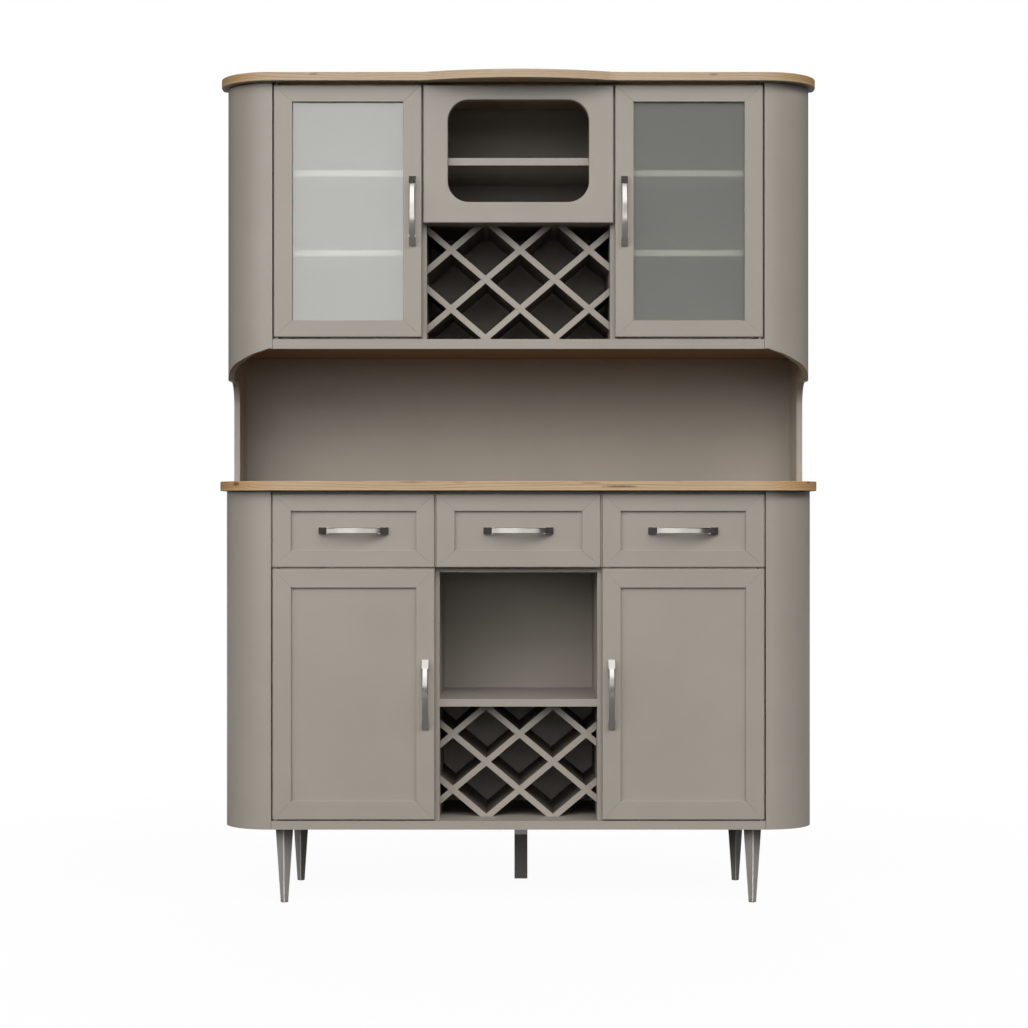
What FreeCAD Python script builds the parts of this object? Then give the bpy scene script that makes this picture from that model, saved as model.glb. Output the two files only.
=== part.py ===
import FreeCAD, Part
import math
import os

V = FreeCAD.Vector

# Carcass
body_width = 1200.0
body_depth = 372.0
corner_radius = 100.0
end_thickness = 12.0
side_thickness = 16.0
divider_thickness = 18.0
back_thickness = 6.0
back_recess = 10.0
bend_clearance = 0.2
seam_ease = 1.2
post_width = 30.0
cut_overrun = 5.0

# Heights of the base, from the floor up
leg_height = 154.4
base_floor_thickness = 17.6
base_door_foot_gap = 2.0
base_door_height = 506.6
drawer_door_gap = 3.4
drawer_height = 148.4
drawer_counter_gap = 6.6
counter_thickness = 19.4

# Heights of the hutch, from the counter up
bay_height = 269.0
hutch_floor_thickness = 19.8
hutch_door_foot_gap = 4.0
hutch_door_height = 512.0
hutch_door_top_gap = 5.3
top_thickness = 17.9

# Set-backs and overhangs
hutch_setback = 26.0
counter_overhang = 20.0
top_overhang = 20.0
side_overhang = 12.5
counter_edge_round = 1.6
top_edge_round = 2.0
top_side_lip = 145.0

# Bowed front of the top board
bow_rise = 36.0
bow_half_width = 209.0
bow_lead_in = 30.0

# Arched ends of the hutch, under its floor
arch_drop = 60.0
arch_turns = (0, 10, 21, 32, 43, 54, 62, 70, 77, 84, 90)
arch_drop_shares = (0, 0.04, 0.132, 0.248, 0.378, 0.492, 0.598, 0.71, 0.84, 0.955, 1)
cove_radius = 45.0
stile_depth = 147.0

# Doors, drawer fronts and the pieces they are framed from
door_thickness = 18.0
door_seat_gap = 2.5
door_end_gap = 3.2
door_lap = 8.6
front_gap = 3.2
stile_width = 37.5
base_rail_width = 37.6
drawer_rail_width = 34.5
hutch_rail_width = 34.0
front_ease = 2.2
inner_ease = 0.6
mitre_line_width = 1.3
mitre_line_depth = 1.6
panel_recess = 6.0
panel_thickness = 9.0
glass_recess = 8.0
glass_thickness = 4.0
groove_depth = 8.0
groove_play = 1.0

# Pivot hinges in the door edges
pivot_inset = 6.0
pivot_plate_thickness = 2.0
pivot_plate_width = 9.0
pivot_plate_lead = 4.0
pivot_plate_tail = 24.0
pivot_tongue_tail = 44.0
pin_radius = 2.0
pin_clearance = 0.05
pin_engagement = 8.0
bush_radius = 3.5
bush_length = 10.0
pivot_run_gap = 0.3

# Drawers
drawer_deck_thickness = 18.0
drawer_deck_lap = 8.0
drawer_lift = 6.0
drawer_box_height = 100.0
drawer_back_gap = 38.0
drawer_side_thickness = 12.0
drawer_bottom_thickness = 5.0
drawer_bottom_lift = 10.0
runner_space = 13.0
runner_back_gap = 35.5
runner_height = 35.0
runner_wall = 1.5
runner_flange = 8.5
runner_play = 0.4
stretcher_width = 70.0
stretcher_thickness = 18.0

# Bow pulls
pull_spacing = 128.0
pull_foot = 13.4
pull_foot_height = 17.0
pull_foot_lip = 4.0
pull_foot_slope = 17.0
pull_foot_root = 4.0
pull_projection = 27.0
pull_strap_width = 12.0
pull_strap_thickness = 4.0
pull_edge_round = 1.6

# Open centre of the base
niche_width = 320.0
niche_shelf_thickness = 15.0
base_rack_height = 229.5
base_rack_cell = 136.6
base_rack_rise = 114.4
base_rack_lift = -2.6
base_rack_shift = 2.4
base_rack_setback = 54.0
base_rack_back_gap = 36.5

# Open centre of the hutch
hutch_centre_width = 374.0
hutch_rack_cell = 141.8
hutch_rack_rise = 120.9
hutch_rack_lift = 6.1
hutch_rack_shift = 3.5
hutch_rack_setback = 40.0
hutch_rack_back_gap = 44.5
hutch_niche_floor_thickness = 18.0
hutch_niche_shelf_height = 101.6
hutch_niche_shelf_thickness = 15.0
fascia_opening_width = 286.6
fascia_opening_height = 207.4
fascia_foot_height = 42.4
fascia_head_height = 30.2
fascia_opening_radius = 43.0

# Lattice slats
slat_thickness = 12.0
slat_step = 1.0
slot_play = 0.1

# Loose shelves and their pins
base_shelf_thickness = 15.0
base_shelf_lift = 250.0
base_shelf_setback = 40.0
hutch_shelf_thickness = 12.0
hutch_shelf_lift = 172.0
hutch_shelf_spacing = 163.0
hutch_shelf_setback = 12.0
shelf_side_play = 0.5
shelf_pin_radius = 2.5
shelf_pin_length = 16.0
shelf_pin_margin = 40.0

# Legs
leg_top_side = 26.4
leg_foot_side = 12.2
leg_arris = 1.0
leg_foot_ease = 5.0
leg_foot_ease_height = 4.5
leg_plate_side = 60.0
leg_plate_thickness = 2.0
glide_radius = 3.2
glide_thickness = 1.5
front_leg_side_inset = 122.7
front_leg_inset = 50.0
rear_leg_side_inset = 130.4
rear_leg_inset = 24.0
centre_leg_side = 28.0
centre_leg_inset = 20.0
centre_leg_offset = 6.0
centre_leg_floor_gap = 5.0
centre_leg_edge_round = 2.0
socket_height = 54.0

# Levels
base_floor_top = leg_height + base_floor_thickness
base_door_z = base_floor_top + base_door_foot_gap
base_door_top = base_door_z + base_door_height
drawer_z = base_door_top + drawer_door_gap
drawer_top = drawer_z + drawer_height
counter_z = drawer_top + drawer_counter_gap
counter_top = counter_z + counter_thickness
hutch_floor_z = counter_top + bay_height
hutch_floor_top = hutch_floor_z + hutch_floor_thickness
hutch_door_z = hutch_floor_top + hutch_door_foot_gap
hutch_door_top = hutch_door_z + hutch_door_height
top_z = hutch_door_top + hutch_door_top_gap
deck_top = drawer_z + drawer_deck_lap
deck_z = deck_top - drawer_deck_thickness
niche_shelf_z = base_floor_top + base_rack_height
fascia_height = fascia_foot_height + fascia_opening_height + fascia_head_height
niche_floor_z = hutch_door_top - fascia_height
niche_floor_top = niche_floor_z + hutch_niche_floor_thickness

# Places across the width
half_width = body_width / 2
seam_x = half_width - corner_radius
side_x = seam_x - side_thickness
door_outer_x = seam_x - door_end_gap
pivot_x = door_outer_x - pivot_inset
niche_x = niche_width / 2
base_divider_x = niche_x + divider_thickness
base_door_x = base_divider_x - door_lap
hutch_niche_x = hutch_centre_width / 2
hutch_divider_x = hutch_niche_x + divider_thickness
hutch_door_x = hutch_divider_x - door_lap
fascia_x = hutch_door_x - front_gap

# Places front to back, with the origin under the middle of the whole piece
bow_reach = top_overhang + bow_rise - hutch_setback
rear_y = (body_depth + bow_reach) / 2
front_y = rear_y - body_depth
hutch_y = front_y + hutch_setback
seat_depth = door_thickness + door_seat_gap
base_face_y = front_y + seat_depth
hutch_face_y = hutch_y + seat_depth
back_y = rear_y - back_recess - back_thickness
stile_y = rear_y - stile_depth

os.makedirs("parts", exist_ok=True)


def save(name, shapes):
    solids = [solid for shape in shapes for solid in shape.Solids]
    whole = Part.makeCompound(solids)
    if not whole.isValid():
        raise ValueError(name + " is not valid")
    whole.exportStep("parts/" + name + ".step")
    print(name, len(solids), round(whole.Volume))


def board(x0, x1, y0, y1, z0, z1):
    return Part.makeBox(x1 - x0, y1 - y0, z1 - z0, V(x0, y0, z0))


def mirrored(shape):
    return shape.mirror(V(0, 0, 0), V(1, 0, 0))


def pair(shape):
    return [mirrored(shape), shape]


def prism(edges, direction):
    return Part.Face(Part.Wire(Part.__sortEdges__(edges))).extrude(direction)


def polygon(points, direction):
    return Part.Face(Part.makePolygon(points + points[:1])).extrude(direction)


def line(a, b):
    return Part.LineSegment(a, b).toShape()


def arc(a, b, c):
    return Part.Arc(a, b, c).toShape()


def bend(centre, radius, degrees):
    turn = math.radians(degrees)
    return centre + V(radius * math.sin(turn), -radius * math.cos(turn), 0)


# Plan of a bent end panel: a quarter round that runs on into the straight side
def end_panel(y0, z0, z1):
    centre = V(seam_x, y0 + corner_radius, z0)
    inner_radius = corner_radius - end_thickness
    outer = [bend(centre, corner_radius, angle) for angle in (0, 45, 90)]
    inner = [bend(centre, inner_radius, angle) for angle in (0, 45, 90)]
    outer_rear = V(half_width, rear_y, z0)
    inner_rear = V(half_width - end_thickness, rear_y, z0)
    edges = [
        arc(outer[0], outer[1], outer[2]),
        line(outer[2], outer_rear),
        line(outer_rear, inner_rear),
        line(inner_rear, inner[2]),
        arc(inner[2], inner[1], inner[0]),
        line(inner[0], outer[0]),
    ]
    return prism(edges, V(0, 0, z1 - z0))


# Floor panel: its front edge shows between the end panels, the rest follows their inner faces
def floor_panel(y0, y1, z0, z1):
    inner_radius = corner_radius - end_thickness - bend_clearance
    centre = V(seam_x, y0 + corner_radius, z0)
    nose = V(seam_x - bend_clearance - seam_ease, y0, z0)
    shoulder = V(seam_x - bend_clearance, y0 + seam_ease, z0)
    notch = V(seam_x - bend_clearance, y0 + end_thickness + bend_clearance, z0)
    curve = [bend(centre, inner_radius, angle) for angle in (0, 45, 90)]
    rear = V(seam_x + inner_radius, y1, z0)
    right = [
        line(nose, shoulder),
        line(shoulder, notch),
        line(notch, curve[0]),
        arc(curve[0], curve[1], curve[2]),
        line(curve[2], rear),
    ]
    left = [mirrored(edge) for edge in right]
    across = V(1, 0, 0)
    front_edge = line(nose, nose - across * (nose.x + nose.x))
    rear_edge = line(rear, rear - across * (rear.x + rear.x))
    return prism(right + left + [front_edge, rear_edge], V(0, 0, z1 - z0))


# Post that joins the inner side to the bent end panel, its front hollowed to the bend
def corner_post(y0, z0, z1):
    radius = corner_radius - end_thickness - bend_clearance
    centre = V(seam_x, y0 + corner_radius, z0)
    sweep = math.degrees(math.asin(post_width / radius))
    curve = [bend(centre, radius, angle) for angle in (0, sweep / 2, sweep)]
    rear_line = y0 + seat_depth + post_width
    rear_right = V(curve[2].x, rear_line, z0)
    rear_left = V(seam_x, rear_line, z0)
    edges = [
        arc(curve[0], curve[1], curve[2]),
        line(curve[2], rear_right),
        line(rear_right, rear_left),
        line(rear_left, curve[0]),
    ]
    return prism(edges, V(0, 0, z1 - z0))


# Member of a mitred frame, drawn across its width and thickness, grooved for its panel
def member_section(width, recess, thickness, place):
    soft = front_ease * math.sqrt(0.5)
    points = {
        "back_outer": (0, door_thickness),
        "side": (0, front_ease),
        "ease": (front_ease - soft, front_ease - soft),
        "face": (front_ease, 0),
        "face_end": (width - inner_ease, 0),
        "inner": (width, inner_ease),
        "groove_front": (width, recess),
        "groove_front_in": (width - groove_depth, recess),
        "groove_back_in": (width - groove_depth, recess + thickness),
        "groove_back": (width, recess + thickness),
        "back_inner": (width, door_thickness),
    }
    at = {name: place(u, v) for name, (u, v) in points.items()}
    order = list(points)
    after_ease = order[order.index("face"):] + ["back_outer"]
    edges = [line(at["back_outer"], at["side"]), arc(at["side"], at["ease"], at["face"])]
    edges += [line(at[a], at[b]) for a, b in zip(after_ease, after_ease[1:])]
    return edges


# Fine vee sunk along a mitre, from the outer corner to the inner one
def mitre_line(corner, inner):
    along = inner - corner
    run = along * (cut_overrun / along.Length)
    across = V(-along.z, 0, along.x) * (mitre_line_width / along.Length)
    depth = V(0, mitre_line_depth, 0)
    start = corner - run
    vee = [start + across - depth, start - across - depth, start + depth]
    return polygon(vee, along + run + run)


def mitred_frame(x0, x1, y0, z0, z1, rail, recess, thickness):
    width, height = x1 - x0, z1 - z0
    through = V(0, door_thickness, 0)
    inner_x0, inner_x1 = x0 + stile_width, x1 - stile_width
    inner_z0, inner_z1 = z0 + rail, z1 - rail
    corners = [V(x0, y0, z0), V(x1, y0, z0), V(x1, y0, z1), V(x0, y0, z1)]
    inners = [
        V(inner_x0, y0, inner_z0), V(inner_x1, y0, inner_z0),
        V(inner_x1, y0, inner_z1), V(inner_x0, y0, inner_z1),
    ]
    left = member_section(stile_width, recess, thickness, lambda u, v: V(x0 + u, y0 + v, z0))
    right = member_section(stile_width, recess, thickness, lambda u, v: V(x1 - u, y0 + v, z0))
    foot = member_section(rail, recess, thickness, lambda u, v: V(x0, y0 + v, z0 + u))
    head = member_section(rail, recess, thickness, lambda u, v: V(x0, y0 + v, z1 - u))
    up, along = V(0, 0, height), V(width, 0, 0)
    members = [prism(foot, along), prism(right, up), prism(head, along), prism(left, up)]
    lines = [mitre_line(corner, inner) for corner, inner in zip(corners, inners)]
    framed = []
    for index, member in enumerate(members):
        following = (index + 1) % len(members)
        mitre = [corners[index], corners[following], inners[following], inners[index]]
        framed.append(member.common(polygon(mitre, through)).cut(lines))
    return framed


def framed_panel(x0, x1, y0, z0, z1, rail, recess, thickness):
    reach = groove_depth - groove_play
    return board(
        x0 + stile_width - reach, x1 - stile_width + reach,
        y0 + recess, y0 + recess + thickness,
        z0 + rail - reach, z1 - rail + reach,
    )


# Cast bow pull: two feet with sloping ends and an arched strap, standing off the face towards the front
def bow_pull():
    half = pull_spacing / 2
    foot_half = pull_foot / 2
    strap_half = pull_strap_width / 2
    inner_end = pull_foot_height - pull_strap_thickness
    inner_crown = pull_projection - pull_strap_thickness
    outer, inner = half + foot_half, half - foot_half
    reach = outer - pull_foot_slope
    ends = [V(-reach, -pull_foot_height, -strap_half), V(reach, -pull_foot_height, -strap_half)]
    inner_ends = [V(-reach, -inner_end, -strap_half), V(reach, -inner_end, -strap_half)]
    edges = [
        arc(ends[0], V(0, -pull_projection, -strap_half), ends[1]),
        line(ends[1], inner_ends[1]),
        arc(inner_ends[1], V(0, -inner_crown, -strap_half), inner_ends[0]),
        line(inner_ends[0], ends[0]),
    ]
    strap = prism(edges, V(0, 0, pull_strap_width))
    long_edges = [edge for edge in strap.Edges if edge.Length > reach]
    strap = strap.makeFillet(pull_edge_round, long_edges)
    foot = polygon(
        [
            V(outer, 0, -foot_half), V(outer, -pull_foot_lip, -foot_half),
            V(reach, -pull_foot_height, -foot_half),
            V(reach - pull_foot_root, -pull_foot_height, -foot_half), V(inner, 0, -foot_half),
        ],
        V(0, 0, pull_foot),
    )
    return strap.fuse(pair(foot)).removeSplitter()


def placed_pull(x, y, z, upright):
    pull = bow_pull()
    if upright:
        pull.rotate(V(0, 0, 0), V(0, 1, 0), 90)
    pull.translate(V(x, y, z))
    return pull


# Pivot leaf: plate let into its board, collar that carries the door, pin that enters the door edge
def pivot_leaf(y, seat, door_edge, tail):
    upward = 1 if door_edge > seat else -1
    half = pivot_plate_width / 2
    plate_z = sorted((seat, seat - upward * pivot_plate_thickness))
    plate = board(
        pivot_x - half, pivot_x + half, y - pivot_plate_lead, y + tail, plate_z[0], plate_z[1]
    )
    axis = V(0, 0, upward)
    collar_height = abs(door_edge - seat) - pivot_run_gap
    pin_length = abs(door_edge - seat) + pin_engagement
    collar = Part.makeCylinder(bush_radius, collar_height, V(pivot_x, y, seat), axis)
    pin = Part.makeCylinder(pin_radius, pin_length, V(pivot_x, y, seat), axis)
    return plate, plate.fuse([collar, pin]).removeSplitter()


def pivot_bush(y, door_edge, upward):
    axis = V(0, 0, upward)
    seat = Part.makeCylinder(bush_radius, bush_length, V(pivot_x, y, door_edge), axis)
    bore_radius = pin_radius + pin_clearance
    bore = Part.makeCylinder(bore_radius, bush_length, V(pivot_x, y, door_edge), axis)
    return seat, seat.cut(bore)


# Cross-halved lattice: falling slats run through in front, rising ones stand a step behind them
def wine_rack(half_span, y0, y1, z0, z1, cell, rise, lift, shift):
    slant = math.degrees(math.atan2(rise, cell))
    count = math.ceil(half_span / cell) + math.ceil((z1 - z0) / rise) + 1
    opening = board(-half_span, half_span, y0, y1, z0, z1)
    middle = (y0 + y1) / 2
    length = cell * count + cell * count

    def slats(turn, thickness, front, rear):
        made = []
        for index in range(-count, count):
            slat = Part.makeBox(length, rear - front, thickness, V(-length / 2, front, -thickness / 2))
            slat.rotate(V(0, 0, 0), V(0, 1, 0), turn)
            slat.translate(V(cell * (index + 1 / 2) + shift, 0, z0 + lift))
            made.append(slat)
        return made

    slot = slat_thickness + slot_play + slot_play
    falling_slots = slats(slant, slot, y0 - cut_overrun, middle)
    rising_slots = slats(-slant, slot, middle, y1 + cut_overrun)
    lattice = []
    for turn, front, slots in ((-slant, y0 + slat_step, falling_slots), (slant, y0, rising_slots)):
        for slat in slats(turn, slat_thickness, front, y1):
            piece = slat.common(opening)
            if piece.Volume > 0:
                lattice.append(piece.cut(slots))
    return lattice


def leg_section(side, x, y, z):
    half = side / 2
    flat = half - leg_arris
    corner = [V(half, -flat, 0), V(half, flat, 0), V(flat, half, 0), V(-flat, half, 0)]
    ring = corner + [point * -1 for point in corner]
    turned = FreeCAD.Rotation(V(0, 0, 1), 45)
    points = [turned.multVec(point) + V(x, y, z) for point in ring]
    return Part.makePolygon(points + points[:1])


def tapered_leg(x, y):
    sections = [
        leg_section(leg_foot_side - leg_foot_ease, x, y, glide_thickness),
        leg_section(leg_foot_side, x, y, glide_thickness + leg_foot_ease_height),
        leg_section(leg_top_side, x, y, leg_height - leg_plate_thickness),
    ]
    return Part.makeLoft(sections, True, True)


def shelf_pins(x0, x1, y0, y1, underside):
    pins = []
    for y in (y0 + shelf_pin_margin, y1 - shelf_pin_margin):
        for wall in (x0, x1):
            start = V(wall - shelf_pin_length / 2, y, underside - shelf_pin_radius)
            pins.append(Part.makeCylinder(shelf_pin_radius, shelf_pin_length, start, V(1, 0, 0)))
    return pins


# Pivot leaves and bushes of the right-hand doors
base_pivot_y = front_y + pivot_inset
hutch_pivot_y = hutch_y + pivot_inset
tongue_seat = base_door_top + (drawer_door_gap - pivot_plate_thickness) / 2
base_foot_plate, base_foot_leaf = pivot_leaf(
    base_pivot_y, base_floor_top, base_door_z, pivot_plate_tail
)
base_tongue, base_head_leaf = pivot_leaf(
    base_pivot_y, tongue_seat, base_door_top, pivot_tongue_tail
)
hutch_foot_plate, hutch_foot_leaf = pivot_leaf(
    hutch_pivot_y, hutch_floor_top, hutch_door_z, pivot_plate_tail
)
hutch_head_plate, hutch_head_leaf = pivot_leaf(
    hutch_pivot_y, top_z, hutch_door_top, pivot_plate_tail
)
leaves = [base_foot_leaf, base_head_leaf, hutch_foot_leaf, hutch_head_leaf]
save("door_pivots", [leaf for each in leaves for leaf in pair(each)])

# Loose shelves on pins
base_shelf_z = base_floor_top + base_shelf_lift
base_shelf_y = base_face_y + base_shelf_setback
hutch_shelf_y = hutch_face_y + hutch_shelf_setback
base_shelf = board(
    base_divider_x + shelf_side_play, side_x - shelf_side_play,
    base_shelf_y, back_y, base_shelf_z, base_shelf_z + base_shelf_thickness,
)
base_pins = shelf_pins(base_divider_x, side_x, base_shelf_y, back_y, base_shelf_z)
hutch_shelves = []
hutch_pins = []
for step in range(2):
    shelf_z = hutch_floor_top + hutch_shelf_lift + step * hutch_shelf_spacing
    hutch_shelves.append(board(
        hutch_divider_x + shelf_side_play, side_x - shelf_side_play,
        hutch_shelf_y, back_y, shelf_z, shelf_z + hutch_shelf_thickness,
    ))
    hutch_pins += shelf_pins(hutch_divider_x, side_x, hutch_shelf_y, back_y, shelf_z)
save("base_cupboard_shelves", pair(base_shelf))
save("hutch_shelves", [shelf for each in hutch_shelves for shelf in pair(each)])
save("shelf_pins", [pin for each in base_pins + hutch_pins for pin in pair(each)])

# Base carcass
base_floor = floor_panel(front_y, rear_y, leg_height, base_floor_top)
save("base_floor_panel", [base_floor.cut(pair(base_foot_plate))])
base_end = end_panel(front_y, leg_height, counter_z)
save("base_end_left", [mirrored(base_end)])
save("base_end_right", [base_end])
base_side = board(side_x, seam_x, base_face_y, back_y, base_floor_top, counter_z)
save("base_sides", pair(base_side.cut([base_tongue] + base_pins)))
base_divider = board(niche_x, base_divider_x, base_face_y, back_y, base_floor_top, counter_z)
save("base_dividers", pair(base_divider.cut(base_pins)))
save("base_back_panel", [board(
    end_thickness - half_width, half_width - end_thickness,
    back_y, back_y + back_thickness, base_floor_top, counter_z,
)])
outer_deck = board(base_divider_x, side_x, base_face_y, back_y, deck_z, deck_top).cut(base_tongue)
middle_deck = board(-niche_x, niche_x, base_face_y, back_y, deck_z, deck_top)
save("base_drawer_decks", pair(outer_deck) + [middle_deck])
stretcher_z = counter_z - stretcher_thickness
stretchers = []
for y0 in (base_face_y, back_y - stretcher_width):
    y1 = y0 + stretcher_width
    stretchers += pair(board(base_divider_x, side_x, y0, y1, stretcher_z, counter_z))
    stretchers.append(board(-niche_x, niche_x, y0, y1, stretcher_z, counter_z))
save("base_stretchers", stretchers)
save("base_niche_shelf", [board(
    -niche_x, niche_x, base_face_y, back_y, niche_shelf_z, niche_shelf_z + niche_shelf_thickness,
)])
base_rack_y = base_face_y + base_rack_setback
save("base_wine_rack", wine_rack(
    niche_x, base_rack_y, back_y - base_rack_back_gap, base_floor_top, niche_shelf_z,
    base_rack_cell, base_rack_rise, base_rack_lift, base_rack_shift,
))
base_post = corner_post(front_y, base_floor_top, counter_z)
hutch_post = corner_post(hutch_y, hutch_floor_top, top_z)
save("corner_posts", pair(base_post) + pair(hutch_post))

# Oak counter with rounded front corners
counter_x = half_width + side_overhang
counter_radius = corner_radius + side_overhang


def oak_corner(y0, z0):
    centre = V(counter_x - counter_radius, y0 + counter_radius, z0)
    return [bend(centre, counter_radius, angle) for angle in (0, 45, 90)]


def oak_board(y0, z0, thickness, front_edges, side_edges, edge_round):
    corner = oak_corner(y0, z0)
    rear = side_edges[-1].Vertexes[-1].Point
    right = [arc(corner[0], corner[1], corner[2])] + side_edges
    left = [mirrored(edge) for edge in right]
    rear_edge = line(rear, mirrored(Part.Vertex(rear)).Point)
    slab = prism(right + left + [rear_edge] + front_edges, V(0, 0, thickness))
    rims = [
        edge for edge in slab.Edges
        if abs(edge.tangentAt(edge.FirstParameter).z) < 0.5
        and min(vertex.Y for vertex in edge.Vertexes) < rear_y - edge_round
    ]
    return slab.makeFillet(edge_round, rims)


counter_y = front_y - counter_overhang
corner_start, _, corner_end = oak_corner(counter_y, counter_z)
counter_front = [line(mirrored(Part.Vertex(corner_start)).Point, corner_start)]
counter_side = [line(corner_end, V(counter_x, rear_y, counter_z))]
save("counter", [oak_board(
    counter_y, counter_z, counter_thickness, counter_front, counter_side, counter_edge_round,
)])

# Hutch top board: a shallow bow in front, and side lips that turn in to the body behind the corners
top_y = hutch_y - top_overhang
top_corner, _, top_corner_end = oak_corner(top_y, top_z)
lip_end = V(counter_x, top_y + top_side_lip - side_overhang, top_z)
lip_turn = side_overhang * math.sqrt(0.5)
lip_mid = V(half_width + lip_turn, lip_end.y + lip_turn, top_z)
lip_root = V(half_width, top_y + top_side_lip, top_z)
top_side = [
    line(top_corner_end, lip_end),
    arc(lip_end, lip_mid, lip_root),
    line(lip_root, V(half_width, rear_y, top_z)),
]
bow_slope = 2 * math.atan2(bow_rise, bow_half_width)
lead_radius = bow_lead_in / math.sin(bow_slope)
crown_radius = (bow_half_width - bow_lead_in) / math.sin(bow_slope)
lead_centre = V(bow_half_width, top_y - lead_radius, top_z)
crown_centre = V(0, top_y - bow_rise + crown_radius, top_z)
slope = math.degrees(bow_slope)
lead = [
    V(bow_half_width, top_y, top_z),
    lead_centre + V(-lead_radius * math.sin(bow_slope / 2), lead_radius * math.cos(bow_slope / 2), 0),
    bend(crown_centre, crown_radius, slope),
]
crown_mid = bend(crown_centre, crown_radius, 0)
lead_curve = arc(lead[0], lead[1], lead[2])
straight = line(lead[0], top_corner)
crown = arc(lead[2], crown_mid, mirrored(Part.Vertex(lead[2])).Point)
top_front = pair(straight) + pair(lead_curve) + [crown]
top_board = oak_board(top_y, top_z, top_thickness, top_front, top_side, top_edge_round)
save("hutch_top_board", [top_board.cut(pair(hutch_head_plate))])

# Hutch carcass, its bent ends arched below the floor and drawn back to a stile
arch_z = hutch_floor_z - arch_drop
foot_z = counter_top - cut_overrun
arch_centre = V(seam_x, hutch_y + corner_radius, foot_z)
arch_outside = corner_radius + cut_overrun
arch_inside = corner_radius - end_thickness - cut_overrun
arch_sections = []
for turn, share in zip(arch_turns, arch_drop_shares):
    rise = V(0, 0, hutch_floor_z - arch_drop * share - foot_z)
    outside = bend(arch_centre, arch_outside, turn)
    inside = bend(arch_centre, arch_inside, turn)
    arch_sections.append(Part.makePolygon([outside, outside + rise, inside + rise, inside, outside]))
arch_bend = Part.makeLoft(arch_sections, True, False)
plane_x = half_width - end_thickness - cut_overrun
cove_head = V(plane_x, hutch_y + corner_radius, arch_z)
cove_start = V(plane_x, stile_y - cove_radius, arch_z)
cove_soft = cove_radius * math.sqrt(0.5)
cove_mid = cove_start + V(0, cove_soft, cove_soft - cove_radius)
cove_end = V(plane_x, stile_y, arch_z - cove_radius)
stile_foot = V(plane_x, stile_y, foot_z)
cove_foot = V(plane_x, hutch_y + corner_radius, foot_z)
arch_side = prism(
    [
        line(cove_head, cove_start),
        arc(cove_start, cove_mid, cove_end),
        line(cove_end, stile_foot),
        line(stile_foot, cove_foot),
        line(cove_foot, cove_head),
    ],
    V(end_thickness + cut_overrun + cut_overrun, 0, 0),
)
hutch_end = end_panel(hutch_y, counter_top, top_z).cut(arch_bend.fuse(arch_side))
save("hutch_end_left", [mirrored(hutch_end)])
save("hutch_end_right", [hutch_end])
hutch_floor = floor_panel(hutch_y, back_y, hutch_floor_z, hutch_floor_top)
save("hutch_floor_panel", [hutch_floor.cut(pair(hutch_foot_plate))])
hutch_side = board(side_x, seam_x, hutch_face_y, back_y, hutch_floor_top, top_z)
save("hutch_sides", pair(hutch_side.cut([hutch_head_plate] + hutch_pins)))
hutch_divider = board(hutch_niche_x, hutch_divider_x, hutch_face_y, back_y, hutch_floor_top, top_z)
save("hutch_dividers", pair(hutch_divider.cut(hutch_pins)))
save("hutch_back_panel", [board(
    end_thickness - half_width, half_width - end_thickness,
    back_y, back_y + back_thickness, counter_top, top_z,
)])
save("hutch_niche_floor", [board(
    -hutch_niche_x, hutch_niche_x, hutch_face_y, back_y, niche_floor_z, niche_floor_top,
)])
niche_shelf_level = niche_floor_top + hutch_niche_shelf_height
save("hutch_niche_shelf", [board(
    -hutch_niche_x, hutch_niche_x, hutch_face_y, back_y,
    niche_shelf_level, niche_shelf_level + hutch_niche_shelf_thickness,
)])
hutch_rack_y = hutch_face_y + hutch_rack_setback
save("hutch_wine_rack", wine_rack(
    hutch_niche_x, hutch_rack_y, back_y - hutch_rack_back_gap,
    hutch_floor_top, niche_floor_z,
    hutch_rack_cell, hutch_rack_rise, hutch_rack_lift, hutch_rack_shift,
))

# Fascia of the hutch niche, with its round-cornered opening
fascia = board(-fascia_x, fascia_x, hutch_y, hutch_face_y, niche_floor_z, hutch_door_top)
opening_z = niche_floor_z + fascia_foot_height
opening = board(
    -fascia_opening_width / 2, fascia_opening_width / 2,
    hutch_y - cut_overrun, hutch_face_y + cut_overrun,
    opening_z, opening_z + fascia_opening_height,
)
opening_corners = [
    edge for edge in opening.Edges if abs(edge.tangentAt(edge.FirstParameter).y) > 0.5
]
opening = opening.makeFillet(fascia_opening_radius, opening_corners)
fascia = fascia.cut(opening)
front_rim = [
    edge for edge in fascia.Edges
    if all(abs(vertex.Y - hutch_y) < bend_clearance for vertex in edge.Vertexes)
]
save("hutch_fascia", [fascia.makeFillet(front_ease, front_rim)])

# Legs
front_leg_x = half_width - front_leg_side_inset
rear_leg_x = half_width - rear_leg_side_inset
front_leg_y = front_y + front_leg_inset
rear_leg_y = rear_y - rear_leg_inset
legs, plates, glides = [], [], []
for leg_x, leg_y in ((front_leg_x, front_leg_y), (rear_leg_x, rear_leg_y)):
    half_plate = leg_plate_side / 2
    plate_z = leg_height - leg_plate_thickness
    legs += pair(tapered_leg(leg_x, leg_y))
    plates += pair(board(
        leg_x - half_plate, leg_x + half_plate,
        leg_y - half_plate, min(leg_y + half_plate, rear_y), plate_z, leg_height,
    ))
    glides += pair(Part.makeCylinder(glide_radius, glide_thickness, V(leg_x, leg_y, 0)))
centre_half = centre_leg_side / 2
centre_leg_y = rear_y - centre_leg_inset
socket_z = leg_height - socket_height


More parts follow.
